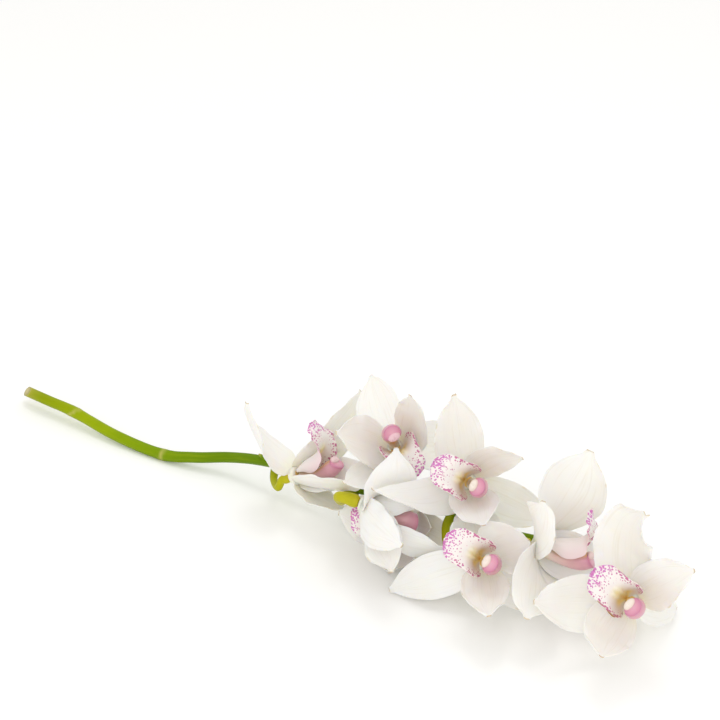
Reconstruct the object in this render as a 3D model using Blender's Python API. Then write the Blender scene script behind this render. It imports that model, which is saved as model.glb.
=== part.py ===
"""Cymbidium orchid stem: one cut flower stem lying on a table, with eight open white blooms.

The stem runs along +X from its cut end to its tip, the table is the plane z = 0 and +Z is up.
Every bloom has the same build: three sepals and two petals round a small receptacle, a lip below
and a column above it. What differs is where each bloom sits, which way it faces and how each
tepal bends. Lengths are in metres and angles in degrees.
"""

import bmesh
import bpy
import numpy as np

for old in list(bpy.data.objects):
    bpy.data.objects.remove(old, do_unlink=True)

# Driving dimensions. A full bloom spans about 120 mm, which is usual for a standard cymbidium.

TEPAL_LENGTH = 0.060  # base to tip along the midrib
TEPAL_WIDTH = 0.034
TEPAL_THICK = 0.0009
TEPAL_CUP = 20.0  # half angle through which a tepal's cross section bends
TEPAL_START = 0.0044  # distance of a tepal's base from the bloom's axis
PETAL_LEVEL = -0.0010  # the two petals stand in front of the three sepals
SEPAL_LEVEL = -0.0026
LIP_LENGTH = 0.043
LIP_THICK = 0.0010
COLUMN_LENGTH = 0.030
COLUMN_RADII = np.array([3.2, 3.4, 3.8, 4.5, 5.4, 6.0, 5.2]) / 1000
HOOD_SLOPE = 0.2  # how far the column's end falls back towards the lip, for each unit across it
STEM_RADIUS = 0.0036
CUT_SLANT = (0.0, -1.05, 1.05)  # how far the stem's cut end runs on along X, for each unit in Y and in Z
PEDICEL_RADIUS = 0.0024
GAP = 0.0003  # between pieces that meet

TEPAL_ROWS, TEPAL_COLUMNS = 6, 4
LIP_ROWS, LIP_COLUMNS = 10, 6


def material(name, colour, roughness):
    made = bpy.data.materials.new(name)
    made.use_nodes = True
    shader = made.node_tree.nodes["Principled BSDF"]
    shader.inputs["Base Color"].default_value = (*colour, 1.0)
    shader.inputs["Roughness"].default_value = roughness
    return made


TEPAL_WHITE = material("tepal_white", (0.86, 0.83, 0.76), 0.5)
LIP_WHITE = material("lip_spotted", (0.80, 0.45, 0.55), 0.45)
COLUMN_PINK = material("column_pink", (0.55, 0.10, 0.22), 0.4)
CAP_CREAM = material("anther_cap_cream", (0.90, 0.85, 0.66), 0.4)
STEM_GREEN = material("stem_green", (0.12, 0.26, 0.03), 0.45)


def unit(vector):
    return np.asarray(vector, float) / np.linalg.norm(vector)


def running(values, step):
    """Integral of the values along a line of equal steps, by the trapezoid rule, from 0."""
    return np.concatenate([[0.0], np.cumsum((values[1:] + values[:-1]) / 2 * step)])


def bloom_axes(azimuth, rise, roll):
    """Columns right, dorsal and facing. The dorsal leans to the stem's tip, turned by roll."""
    a, e = np.radians([azimuth, rise])
    facing = np.array([np.cos(a) * np.cos(e), np.sin(a) * np.cos(e), np.sin(e)])
    along_stem = np.array([1.0, 0.0, 0.0])
    start = unit(along_stem - facing * (along_stem @ facing))
    r = np.radians(roll)
    dorsal = start * np.cos(r) + np.cross(facing, start) * np.sin(r)
    return np.stack([np.cross(dorsal, facing), dorsal, facing], axis=1)


def half_width(u, width):
    """Outline of a tepal: (u/m)^a ((1-u)/(1-m))^b, widest at m, on a broad foot, and joined by a
    fourth-power mean to a short blunt tip that goes on a little further than the oval."""
    a, b = 0.55, 0.75
    widest = a / (a + b)
    body = np.clip(u / 0.96, 0, 1)
    oval = (body / widest) ** a * ((1 - body) / (1 - widest)) ** b + 0.2 * (1 - u) ** 6
    tip = 0.30 * (1 - u) ** 0.25
    return width / 2 * (oval**4 + tip**4) ** 0.25


def tepal_surface(turn, tilt, curl, long=1.0, wide=1.0, twist=0.0, sway=0.0, level=SEPAL_LEVEL):
    """Middle surface of a tepal in its bloom's axes, as an array of points (rows, columns, 3).

    turn is its place round the bloom, anticlockwise from the dorsal sepal as seen from the
    front. Its midrib rises forward by tilt at the base and by tilt + curl at the tip. twist
    turns it round its midrib towards the tip, and sway carries the tip sideways.
    """
    u = np.linspace(0, 1, TEPAL_ROWS + 1)
    v = np.linspace(-1, 1, TEPAL_COLUMNS + 1)
    fine = np.linspace(0, 1, 101)
    length = long * TEPAL_LENGTH
    rise = np.radians(tilt + curl * fine)
    radius = np.interp(u, fine, TEPAL_START + running(np.cos(rise), length / 100))[:, None]
    height = np.interp(u, fine, level + running(np.sin(rise), length / 100))[:, None]
    rise = np.interp(u, fine, rise)[:, None]
    half = half_width(u * 0.985, wide * TEPAL_WIDTH)[:, None]
    cup = np.radians(TEPAL_CUP)
    side = half * np.sin(cup * v) / cup
    up = half * (1 - np.cos(cup * v)) / cup
    wring = np.radians(twist) * u[:, None]
    side, up = side * np.cos(wring) - up * np.sin(wring), side * np.sin(wring) + up * np.cos(wring)
    side = side + sway * u[:, None] ** 2
    out = radius - np.sin(rise) * up
    forward = height + np.cos(rise) * up
    sine, cosine = np.sin(np.radians(turn)), np.cos(np.radians(turn))
    return np.stack([-sine * out - cosine * side, cosine * out - sine * side, forward], axis=-1)


def lip_surface():
    """Middle surface of the lip: a trough whose side lobes stand up beside the column, then a
    waved front lobe that turns down and back."""
    u = np.linspace(0, 1, LIP_ROWS + 1)
    v = np.linspace(-1, 1, LIP_COLUMNS + 1)
    fine = np.linspace(0, 1, 201)
    bend = 30 - 18 * np.clip(fine / 0.3, 0, 1) + 100 * np.clip((fine - 0.38) / 0.5, 0, 1) ** 1.2
    bend = np.radians(bend)
    below = np.interp(u, fine, -0.0034 - running(np.sin(bend), LIP_LENGTH / 200))[:, None]
    front = np.interp(u, fine, 0.0016 + running(np.cos(bend), LIP_LENGTH / 200))[:, None]
    bend = np.interp(u, fine, bend)[:, None]
    marks = [0, 0.12, 0.3, 0.5, 0.62, 0.74, 0.86, 0.94, 1]
    half = np.interp(u, marks, np.array([3, 7, 13, 15, 11.5, 10.5, 10, 7.5, 2.5]) / 1000)[:, None]
    cup = np.radians(np.interp(u, [0, 0.25, 0.5, 0.68, 0.85, 1], [70, 95, 75, 22, -22, -30]))[:, None]
    side = half * np.sin(cup * v) / cup
    up = half * (1 - np.cos(cup * v)) / cup
    wave = 0.0016 * np.clip(u - 0.3, 0, 1)[:, None] * v**2
    up = up + wave * np.sin(22 * u[:, None] + 1.5 * np.sign(v))
    return np.stack([side, below + np.cos(bend) * up, front + np.sin(bend) * up], axis=-1)


def column_path(rows):
    """Middle line of the column, which leaves the receptacle leaning back and arches over the lip."""
    s = np.linspace(0, 1, rows)
    lean = np.radians(-18 + 42 * s)
    step = COLUMN_LENGTH / (rows - 1)
    y = 0.0016 - running(np.sin(lean), step)
    z = 0.0017 + running(np.cos(lean), step)
    return np.stack([0 * y, y, z], axis=1)


def smooth_route(points, per_span):
    """Points on the Catmull-Rom curve through the ones given, per_span to each span."""
    p = np.asarray(points, float)
    p = np.concatenate([2 * p[:1] - p[1:2], p, 2 * p[-1:] - p[-2:-1]])
    t = (np.arange(per_span) / per_span)[None, :, None]
    a, b, c, d = p[:-3, None], p[1:-2, None], p[2:-1, None], p[3:, None]
    curve = b + t * (c - a) / 2 + t**2 * (a - 2.5 * b + 2 * c - d / 2) + t**3 * (1.5 * (b - c) + (d - a) / 2)
    return np.concatenate([curve.reshape(-1, 3), p[-2:-1]])


def placed(points, at, axes):
    return points @ axes.T + np.asarray(at, float)


def slab(surface, thick):
    """A closed blade round its middle surface. Both faces are split into triangles alike."""
    rows, columns = surface.shape[0], surface.shape[1]
    normal = np.cross(np.gradient(surface, axis=0), np.gradient(surface, axis=1))
    normal /= np.linalg.norm(normal, axis=-1, keepdims=True)
    points = np.concatenate(
        [(surface + normal * thick / 2).reshape(-1, 3), (surface - normal * thick / 2).reshape(-1, 3)]
    )
    i = np.arange(rows * columns).reshape(rows, columns)
    a, b, c, d = i[:-1, :-1].ravel(), i[1:, :-1].ravel(), i[1:, 1:].ravel(), i[:-1, 1:].ravel()
    top = np.concatenate([np.stack([a, b, c], 1), np.stack([a, c, d], 1)])
    low = top[:, ::-1] + rows * columns
    rim = np.concatenate([i[:-1, 0], i[-1, :-1], i[:0:-1, -1], i[0, :0:-1]])
    on = np.roll(rim, -1)
    edge = np.concatenate(
        [np.stack([rim, rim + rows * columns, on + rows * columns], 1),
         np.stack([rim, on + rows * columns, on], 1)]
    )
    return points, np.concatenate([top, low, edge])


def tube(path, radii, sides, up):
    """A closed round bar along the path, with one radius for each point of it."""
    path = np.asarray(path, float)
    count = len(path)
    along = np.gradient(path, axis=0)
    along /= np.linalg.norm(along, axis=1, keepdims=True)
    across = np.cross(along, up)
    across /= np.linalg.norm(across, axis=1, keepdims=True)
    over = np.cross(across, along)
    turn = np.linspace(0, 2 * np.pi, sides, endpoint=False)[None, :, None]
    radii = np.broadcast_to(radii, (count,))[:, None, None]
    rings = path[:, None] + radii * (np.cos(turn) * across[:, None] + np.sin(turn) * over[:, None])
    points = np.concatenate([rings.reshape(-1, 3), path[:1], path[-1:]])
    i = np.arange(count * sides).reshape(count, sides)
    j = np.roll(i, -1, axis=1)
    first, last = np.full(sides, count * sides), np.full(sides, count * sides + 1)
    faces = [
        np.stack([i[:-1], j[:-1], j[1:]], -1).reshape(-1, 3),
        np.stack([i[:-1], j[1:], i[1:]], -1).reshape(-1, 3),
        np.stack([j[0], i[0], first], 1),
        np.stack([i[-1], j[-1], last], 1),
    ]
    return points, np.concatenate(faces)


def piece(name, points, faces, surface):
    """A named object with smooth shading, its faces turned outward."""
    mesh = bpy.data.meshes.new(name)
    mesh.from_pydata(points.tolist(), [], faces.tolist())
    build = bmesh.new()
    build.from_mesh(mesh)
    bmesh.ops.recalc_face_normals(build, faces=build.faces)
    for face in build.faces:
        face.smooth = True
    build.to_mesh(mesh)
    build.free()
    mesh.materials.append(surface)
    obj = bpy.data.objects.new(name, mesh)
    bpy.context.scene.collection.objects.link(obj)
    return obj


def grown_together(body, outgrowths):
    """Fuses the outgrowths into the body, so that they are one piece of material."""
    group = bpy.data.collections.new(body.name + "_outgrowths")
    bpy.context.scene.collection.children.link(group)
    for obj in outgrowths:
        bpy.context.scene.collection.objects.unlink(obj)
        group.objects.link(obj)
    union = body.modifiers.new("union", "BOOLEAN")
    union.operation = "UNION"
    union.solver = "EXACT"
    union.operand_type = "COLLECTION"
    union.collection = group
    graph = bpy.context.evaluated_depsgraph_get()
    joined = bpy.data.meshes.new_from_object(body.evaluated_get(graph))
    body.modifiers.clear()
    body.data = joined
    for obj in outgrowths:
        bpy.data.objects.remove(obj, do_unlink=True)
    bpy.data.collections.remove(group)
    for face in joined.polygons:
        face.use_smooth = True


# The blooms

STALKS = []


def bloom(name, at, face, roll, dorsal, petal_l, petal_r, sepal_l, sepal_r, pedicel, stout=1.0):
    """One bloom with its receptacle at the point given, and the route of its stalk from the stem.

    face is the azimuth and the rise of the way it looks. Left and right are on a ring that runs
    anticlockwise from the dorsal sepal as seen from the front. stout thickens the stalk.
    """
    axes = bloom_axes(*face, roll)
    receptacle = [(0, 0, -0.0050), (0, 0, -0.0042), (0, 0, -0.0015), (0, 0, 0.0004), (0, 0, 0.0009)]
    radii = np.array([2.2, 4.4, 6.0, 5.2, 3.0]) / 1000
    body = piece(name + "_tepals", *tube(placed(np.array(receptacle), at, axes), radii, 10, axes[:, 1]),
                 TEPAL_WHITE)
    blades = []
    for part, bend, level in (
        ("dorsal", dorsal, SEPAL_LEVEL), ("petal_l", petal_l, PETAL_LEVEL), ("petal_r", petal_r, PETAL_LEVEL),
        ("sepal_l", sepal_l, SEPAL_LEVEL), ("sepal_r", sepal_r, SEPAL_LEVEL),
    ):
        surface = placed(tepal_surface(level=level, **bend), at, axes)
        blades.append(piece(f"{name}_{part}", *slab(surface, TEPAL_THICK), TEPAL_WHITE))
    grown_together(body, blades)

    piece(name + "_lip", *slab(placed(lip_surface(), at, axes), LIP_THICK), LIP_WHITE)

    # The column's end is cut back on its lip side, so that it stands over the anther cap as a hood.
    path = placed(column_path(7), at, axes)
    end = unit(path[-1] - path[-2])
    under = unit(np.cross(axes[:, 0], end))
    points, faces = tube(path, COLUMN_RADII, 10, axes[:, 1])
    rim = points[-12:-2]
    rim -= np.outer((rim - path[-1]) @ under, end) * HOOD_SLOPE
    piece(name + "_column", points, faces, COLUMN_PINK)

    # The anther cap is a low oval dome on that sloping end, broader across the bloom.
    facing = unit(end + HOOD_SLOPE * under)
    downhill = unit(under - HOOD_SLOPE * end)
    seat = path[-1] + facing * GAP + downhill * 0.0022
    dome = seat + np.outer([0, 0.0010, 0.0019, 0.0024], facing)
    points, faces = tube(dome, np.array([4.0, 3.8, 2.7, 1.0]) / 1000, 10, axes[:, 1])
    points -= np.outer((points - seat) @ downhill, downhill) * 0.35
    piece(name + "_anther_cap", points, faces, CAP_CREAM)

    # The stalk thickens into the ovary and ends a gap behind the receptacle.
    behind = np.asarray(at, float) - np.outer([0.0125, 0.0090, 0.0050 + GAP], axes[:, 2])
    route = smooth_route(np.concatenate([np.array(pedicel), behind]), 2)
    share = np.linspace(0, 1, len(route))
    radii = np.interp(share, [0, 0.2, 0.5, 0.8, 0.93, 1], [1.3, 1.0, 1.0, 1.25, 1.2, 0.9]) * PEDICEL_RADIUS
    STALKS.append(piece(name + "_stalk", *tube(route, radii * stout, 7, (0.1, 0.3, 1)), STEM_GREEN))


def tepal(turn, tilt, curl, long=1.0, wide=1.0, **more):
    """The bend of one tepal, as the arguments of tepal_surface."""
    return {"turn": turn, "tilt": tilt, "curl": curl, "long": long, "wide": wide, **more}


# The lowest bloom leans back over the bare stem and looks along the row.
bloom(
    "bloom_a", at=(-0.029, -0.027, 0.031), face=(15, 29), roll=17,
    dorsal=tepal(4, 26, 40, 0.62, 0.76),
    petal_l=tepal(40, 68, 26, 0.83, 0.76),
    petal_r=tepal(-38, 64, 16, 0.97, 0.76),
    sepal_l=tepal(124, 68, -62, 1.17, 0.79, twist=4, sway=0.003),
    sepal_r=tepal(-164, -40, 68, 0.92, 1.18, twist=55, sway=-0.003),
    pedicel=[(-0.061, -0.010, 0.020), (-0.055, -0.0196, 0.016), (-0.0435, -0.029, 0.018)],
)

# The highest bloom at the left looks up at the viewer, with its lip to the right.
bloom(
    "bloom_b", at=(0.028, 0.000, 0.058), face=(-58, 45), roll=146,
    dorsal=tepal(-3, -13, -16, 0.95, 0.88, twist=-8, sway=-0.008),
    petal_l=tepal(68, 55, 8, 0.93, 1.00),
    petal_r=tepal(-92, 58, 36, 0.97, 0.85, twist=36, sway=0.010),
    sepal_l=tepal(138, 30, 43, 0.95, 0.97, twist=-24, sway=-0.020),
    sepal_r=tepal(-108, -25, -25, 0.97, 1.00),
    pedicel=[(-0.008, -0.011, 0.026), (-0.002, 0.002, 0.031), (0.012, 0.012, 0.040)],
)

# The middle bloom is wide open to the viewer.
bloom(
    "bloom_c", at=(0.087, -0.005, 0.057), face=(-45, 24), roll=-8,
    dorsal=tepal(-5, -12, -10, 0.98, 0.82, sway=0.008),
    petal_l=tepal(92, 48, 36, 0.93, 0.65, twist=-32, sway=-0.014),
    petal_r=tepal(-60, 68, 9, 0.90, 0.88, twist=18),
    sepal_l=tepal(135, 17, 26, 1.00, 0.91, twist=-6, sway=-0.004),
    sepal_r=tepal(-121, 24, 22, 1.00, 0.82, twist=28, sway=-0.032),
    pedicel=[(0.050, -0.009, 0.031), (0.056, -0.001, 0.036), (0.068, 0.006, 0.044)],
)

# A bloom in front of the stem turns its side to the viewer, on a stout stalk that loops forward.
bloom(
    "bloom_d", at=(0.042, -0.047, 0.044), face=(20, -12), roll=20,
    dorsal=tepal(0, 23, 32, 1.02, 0.76, twist=-28, sway=-0.006),
    petal_l=tepal(17, 48, -16, 0.85, 0.82, twist=-88, sway=0.005),
    petal_r=tepal(-66, 72, 6, 0.53, 0.65),
    sepal_l=tepal(52, 57, 51, 1.00, 0.82, twist=-42, sway=-0.012),
    sepal_r=tepal(-72, 70, -106, 0.58, 1.03, twist=-100, sway=-0.021),
    pedicel=[
        (0.005, -0.013, 0.025), (0.005, -0.022, 0.0245), (0.012, -0.034, 0.031), (0.0225, -0.0495, 0.044),
    ],
    stout=1.4,
)

# The lower bloom in the middle rests one sepal on the table.
bloom(
    "bloom_e", at=(0.124, -0.040, 0.032), face=(-49, 30), roll=-8,
    dorsal=tepal(2, -8, 2, 0.83, 1.00),
    petal_l=tepal(72, 41, 29, 0.63, 1.06, twist=-26, sway=-0.007),
    petal_r=tepal(-65, 55, 19, 0.97, 0.85, twist=14),
    sepal_l=tepal(128, -23, -60, 0.73, 0.85),
    sepal_r=tepal(-134, -17, -22, 1.00, 0.82, sway=0.002),
    pedicel=[
        (0.078, -0.0085, 0.0332), (0.0815, -0.020, 0.029), (0.093, -0.031, 0.0215), (0.109, -0.029, 0.020),
    ],
)

# A bloom near the tip looks along the row, and a broad sepal stands up from it.
bloom(
    "bloom_f", at=(0.151, -0.023, 0.0445), face=(20, -6), roll=92,
    dorsal=tepal(40, 36, 40, 0.87, 1.00),
    petal_l=tepal(64, 57, 9, 0.83, 0.88),
    petal_r=tepal(-60, 14, -8, 0.87, 1.18, twist=85),
    sepal_l=tepal(166, 26, -16, 1.00, 1.53, twist=-88, sway=-0.002),
    sepal_r=tepal(-124, 4, 4, 0.90, 0.88, twist=90, sway=-0.010),
    pedicel=[(0.118, -0.010, 0.0355), (0.1275, -0.0215, 0.0428)],
)

# The last bloom is at the tip, open to the viewer, with its dorsal sepal down on the table.
bloom(
    "bloom_g", at=(0.217, -0.028, 0.035), face=(-58, 27), roll=-22,
    dorsal=tepal(22, -60, -8, 0.98, 0.68, twist=-26),
    petal_l=tepal(80, 50, 2, 0.93, 0.85, twist=-38, sway=-0.005),
    petal_r=tepal(-94, 38, 46, 0.93, 0.91, twist=24, sway=0.006),
    sepal_l=tepal(141, 2, 89, 1.23, 1.09, twist=-79, sway=-0.016),
    sepal_r=tepal(-135, 2, 56, 1.00, 1.00, sway=-0.006),
    pedicel=[(0.184, 0.012, 0.018), (0.197, 0.008, 0.017), (0.206, -0.004, 0.021)],
)

# A smaller bloom is tucked under bloom_d, mostly hidden by it.
bloom(
    "bloom_h", at=(0.042, -0.014, 0.0145), face=(-60, 20), roll=-10,
    dorsal=tepal(6, 32, 26, 0.77, 0.88, twist=-10, sway=0.004),
    petal_l=tepal(30, 46, 18, 0.52, 0.65, twist=-20),
    petal_r=tepal(-69, 50, 30, 0.72, 0.88, twist=8),
    sepal_l=tepal(150, -38, 10, 0.63, 0.71),
    sepal_r=tepal(-165, -3, 2, 0.58, 0.97),
    pedicel=[(0.060, -0.009, 0.032), (0.059, 0.001, 0.026), (0.050, 0.008, 0.016), (0.038, 0.005, 0.0085)],
)

# The stem, from the cut end to the last bloom. It touches the table where it bends, 130 mm from
# the cut, and its bare part has a leaf scar at each of two nodes.
STEM_ROUTE = [
    (-0.2778, -0.022, 0.0096), (-0.255, -0.023, 0.0096), (-0.231, -0.023, 0.0088), (-0.190, -0.025, 0.005),
    (-0.150, -0.0235, 0.0037), (-0.125, -0.0185, 0.0075), (-0.100, -0.011, 0.0128), (-0.075, -0.010, 0.0188),
    (-0.045, -0.010, 0.023), (0.000, -0.012, 0.027), (0.031, -0.010, 0.029), (0.074, -0.008, 0.033),
    (0.118, -0.010, 0.0355), (0.142, 0.004, 0.030), (0.165, 0.015, 0.022), (0.184, 0.012, 0.018),
]
route = smooth_route(STEM_ROUTE, 2)
share = np.linspace(0, 1, len(route))
taper = np.interp(share, [0, 0.3, 0.5, 0.7, 0.85, 1], [1.0, 1.0, 0.95, 0.85, 0.71, 0.585])
points, faces = tube(route, taper * STEM_RADIUS, 8, (0, 0, 1))
cut = points[:8]  # the cut slants, so that its face looks up and towards the viewer
cut[:, 0] += (cut - route[0]) @ CUT_SLANT
stem = piece("stem", points, faces, STEM_GREEN)
for at in ((-0.231, -0.023, 0.0088), (-0.148, -0.0233, 0.0039)):
    scar = np.array(at) + np.outer([-0.0012, 0.0012], [1.0, 0.0, 0.0])
    STALKS.append(piece("leaf_scar", *tube(scar, STEM_RADIUS + 0.0005, 8, (0, 0, 1)), STEM_GREEN))
# Pointed bracts stand at the feet of three stalks.
for foot, tip in (
    ((-0.068, -0.010, 0.0205), (-0.074, -0.012, 0.0245)),
    ((0.004, -0.013, 0.027), (-0.006, -0.019, 0.029)),
    ((0.124, -0.014, 0.0385), (0.130, -0.022, 0.0345)),
):
    radii = np.array([2.2, 2.0, 1.4, 0.4]) / 1000
    STALKS.append(piece("bract", *tube(np.linspace(foot, tip, 4), radii, 6, (0.3, 1, 0.2)), STEM_GREEN))
grown_together(stem, STALKS)

# The origin is the middle of the whole object's box, at its lowest point.
objects = list(bpy.context.scene.objects)
corners = np.concatenate([np.array([v.co[:] for v in obj.data.vertices]) for obj in objects])
low, high = corners.min(axis=0), corners.max(axis=0)
for obj in objects:
    for vertex in obj.data.vertices:
        vertex.co.x -= (low[0] + high[0]) / 2
        vertex.co.y -= (low[1] + high[1]) / 2
        vertex.co.z -= low[2]
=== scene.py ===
"""Cymbidium orchid stem: the looks of one cut flower stem that lies on a white table.

Each piece takes the place of a plain solid and keeps its form, with the finer shape and finish of
the real plant. Lengths are in metres and angles in degrees, apart from a few sizes that are marked
mm. Places are given from the point that the blooms were laid out from, and move to the frame's
origin as each piece is made.
"""

import bpy
import numpy as np
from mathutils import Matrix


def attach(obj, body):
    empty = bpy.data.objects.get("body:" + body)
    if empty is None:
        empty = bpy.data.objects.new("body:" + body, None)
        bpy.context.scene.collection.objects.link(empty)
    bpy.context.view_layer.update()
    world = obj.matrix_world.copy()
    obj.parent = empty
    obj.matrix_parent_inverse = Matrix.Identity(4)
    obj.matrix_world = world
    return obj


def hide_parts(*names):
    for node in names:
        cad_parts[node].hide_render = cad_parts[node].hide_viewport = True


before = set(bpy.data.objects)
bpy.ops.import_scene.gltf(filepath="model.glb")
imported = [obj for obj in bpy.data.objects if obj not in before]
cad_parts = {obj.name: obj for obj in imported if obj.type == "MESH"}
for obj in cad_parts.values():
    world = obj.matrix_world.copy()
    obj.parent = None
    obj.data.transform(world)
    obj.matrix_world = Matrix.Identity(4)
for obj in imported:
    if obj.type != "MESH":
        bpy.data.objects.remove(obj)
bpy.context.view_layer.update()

# The stem. A smooth, fleshy green flower stem that was cut across at its lower end and lies on the
# table. Two tan rings are the scars of sheaths that have dropped, and it is a little thicker there.

FRAME_ORIGIN = np.array([-0.011422, -0.015547, -0.0002])  # as seen from the layout's own point
STEM_ROUTE = [
    (-0.2778, -0.022, 0.0096), (-0.255, -0.023, 0.0096), (-0.231, -0.023, 0.0088),
    (-0.190, -0.025, 0.005), (-0.150, -0.0235, 0.0037), (-0.125, -0.0185, 0.0075),
    (-0.100, -0.011, 0.0128), (-0.075, -0.010, 0.0188), (-0.045, -0.010, 0.023),
    (0.000, -0.012, 0.027), (0.031, -0.010, 0.029), (0.074, -0.008, 0.033),
    (0.118, -0.010, 0.0355), (0.142, 0.004, 0.030), (0.165, 0.015, 0.022), (0.184, 0.012, 0.018),
]
STEM_STEPS, STEM_SIDES = 14, 40  # rings to each span of the route, and points to each ring
STEM_RADIUS = 0.0036
STEM_TAPER = (  # shares of the way along, and shares of the radius there
    [0, 0.3, 0.5, 0.7, 0.85, 1], [1.0, 1.0, 0.95, 0.85, 0.71, 0.585],
)
STEM_RIBS = 7
STEM_RIB, STEM_OVAL = 0.018, 0.02  # height of its ribs and of its oval, as shares of the radius
SCAR_AT = (-0.231, -0.148)  # where the two rings are along X
SCAR_SLANT = (1.1, 0.3)  # how far each ring runs on along X, for each unit up
SCAR_WIDTH, JOINT_WIDTH = 0.0013, 0.007  # half of the ring, and half of the thick stretch it is on
SCAR_HEIGHT, JOINT_HEIGHT = 0.0002, 0.00028  # how far each of them stands out
SCAR_DRYNESS = 0.85
CUT_SLANT = (-1.05, 1.05)  # how far the cut end runs on along X, for each unit in Y and in Z
CUT_RUN = 0.012  # the length over which the slant fades out
CUT_BROWNING = 0.0012  # the length over which the skin is dry beside the cut
STEM_GRAIN = 0.05  # the length of stem that one streak of colour spans
STEM_TONE = (  # distances from the cut end, and tones there
    [0, 0.006, 0.03, 0.13, 0.22, 0.27, 0.5], [0.0, 0.03, 0.09, 0.30, 0.50, 0.58, 0.60],
)


def smooth_route(points, per_span):
    """Points on the Catmull-Rom curve through the ones given: each span's cubic leaves and meets
    its two ends in the direction from the point before to the point after."""
    p = np.asarray(points, float)
    p = np.concatenate([2 * p[:1] - p[1:2], p, 2 * p[-1:] - p[-2:-1]])
    t = (np.arange(per_span) / per_span)[None, :, None]
    a, b, c, d = p[:-3, None], p[1:-2, None], p[2:-1, None], p[3:, None]
    bend, turn = a - 2.5 * b + 2 * c - d / 2, 1.5 * (b - c) + (d - a) / 2
    curve = b + t * (c - a) / 2 + t**2 * bend + t**3 * turn
    return np.concatenate([curve.reshape(-1, p.shape[1]), p[-2:-1]])


def length_along(route):
    """The distance from a route's start to each of its points, point by point."""
    return np.concatenate([[0], np.cumsum(np.linalg.norm(np.diff(route, axis=0), axis=1))])


def carried_round(path, radii, sides, up):
    """Rings carried along a path: each point is path + radius (cos angle across + sin angle over),
    where over leans to up. Returns the grid of points and the angle of each column."""
    along = np.gradient(path, axis=0)
    along /= np.linalg.norm(along, axis=1, keepdims=True)
    across = np.cross(along, up)
    across /= np.linalg.norm(across, axis=1, keepdims=True)
    over = np.cross(across, along)
    angle = np.linspace(0, 2 * np.pi, sides, endpoint=False)
    radii = np.broadcast_to(radii, (len(path), sides))[..., None]
    cosine, sine = np.cos(angle)[None, :, None], np.sin(angle)[None, :, None]
    return path[:, None] + radii * (cosine * across[:, None] + sine * over[:, None]), angle


def tube_faces(count, sides):
    """Quads between neighbouring rings, and a flat face over each end."""
    i = np.arange(count * sides).reshape(count, sides)
    j = np.roll(i, -1, axis=1)
    quads = np.stack([i[:-1], j[:-1], j[1:], i[1:]], -1).reshape(-1, 4)
    return quads.tolist() + [i[0, ::-1].tolist(), i[-1].tolist()]


def grain_places(angle, run):
    """Where a streak's pattern is read: the cosine and sine of the angle, and the run along."""
    places = np.broadcast_arrays(np.cos(angle)[None], np.sin(angle)[None], run[:, None])
    return np.stack(places, -1).reshape(-1, 3)


def grown_piece(name, points, faces, finish, **fields):
    """A smooth-shaded mesh in the frame, with each field stored on its points for the finish."""
    mesh = bpy.data.meshes.new(name)
    mesh.from_pydata((points - FRAME_ORIGIN).tolist(), [], faces)
    mesh.polygons.foreach_set("use_smooth", np.ones(len(mesh.polygons), bool))
    for title, values in fields.items():
        kind, key = ("FLOAT_VECTOR", "vector") if values.ndim == 2 else ("FLOAT", "value")
        stored = mesh.attributes.new(title, kind, "POINT")
        stored.data.foreach_set(key, values.astype(np.float32).ravel())
    mesh.materials.append(finish)
    piece = bpy.data.objects.new(name, mesh)
    bpy.context.scene.collection.objects.link(piece)
    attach(piece, "root")
    return piece


def node(finish, kind, inputs=None, **settings):
    """Adds one node, and fills its inputs with numbers, colours or other nodes' outputs."""
    made = finish.node_tree.nodes.new(kind)
    for key, value in settings.items():
        setattr(made, key, value)
    for key, value in (inputs or {}).items():
        if isinstance(value, bpy.types.NodeSocket):
            finish.node_tree.links.new(value, made.inputs[key])
        else:
            made.inputs[key].default_value = value
    return made


def field(finish, name, part="Fac"):
    """A field that a piece stores on its points: Fac for a number, Vector for a place."""
    return node(finish, "ShaderNodeAttribute", attribute_name=name).outputs[part]


def place_on(finish):
    """Where a point of the piece is, in the frame."""
    return node(finish, "ShaderNodeTexCoord").outputs["Object"]


def speckle(finish, place, scale, detail=2.0, roughness=0.5):
    """Cloudy noise between 0 and 1."""
    inputs = {"Vector": place, "Scale": scale, "Detail": detail, "Roughness": roughness}
    return node(finish, "ShaderNodeTexNoise", inputs).outputs["Fac"]


def sums(finish, operation, *values, clamp=False):
    """Arithmetic on numbers or on other nodes' outputs."""
    inputs = dict(enumerate(values))
    return node(finish, "ShaderNodeMath", inputs, operation=operation, use_clamp=clamp).outputs[0]


def times(finish, one, other):
    """One value multiplied by the other."""
    return sums(finish, "MULTIPLY", one, other)


def between(finish, value, low, high):
    """Runs smoothly from 0 at low to 1 at high."""
    inputs = {"Value": value, "From Min": low, "From Max": high}
    return node(finish, "ShaderNodeMapRange", inputs, interpolation_type="SMOOTHSTEP").outputs[0]


def tint(finish, share, base, over):
    """The colour base with the colour over laid on it by the share given."""
    inputs = {0: share, 6: base, 7: over}
    return node(finish, "ShaderNodeMix", inputs, data_type="RGBA").outputs[2]


def colour_along(finish, value, stops):
    """The colour at a value from 0 to 1, evenly between stops that start at 0 and end at 1."""
    ramp = node(finish, "ShaderNodeValToRGB", {"Fac": value})
    elements = ramp.color_ramp.elements
    elements[0].color, elements[1].color = (*stops[0][1], 1.0), (*stops[-1][1], 1.0)
    for place, colour in stops[1:-1]:
        elements.new(place).color = (*colour, 1.0)
    return ramp.outputs["Color"]


def new_finish(name, roughness):
    """A material with its name and roughness, which shade gives its colour."""
    finish = bpy.data.materials.new(name)
    finish.use_nodes = True
    finish.node_tree.nodes["Principled BSDF"].inputs["Roughness"].default_value = roughness
    return finish


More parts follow.
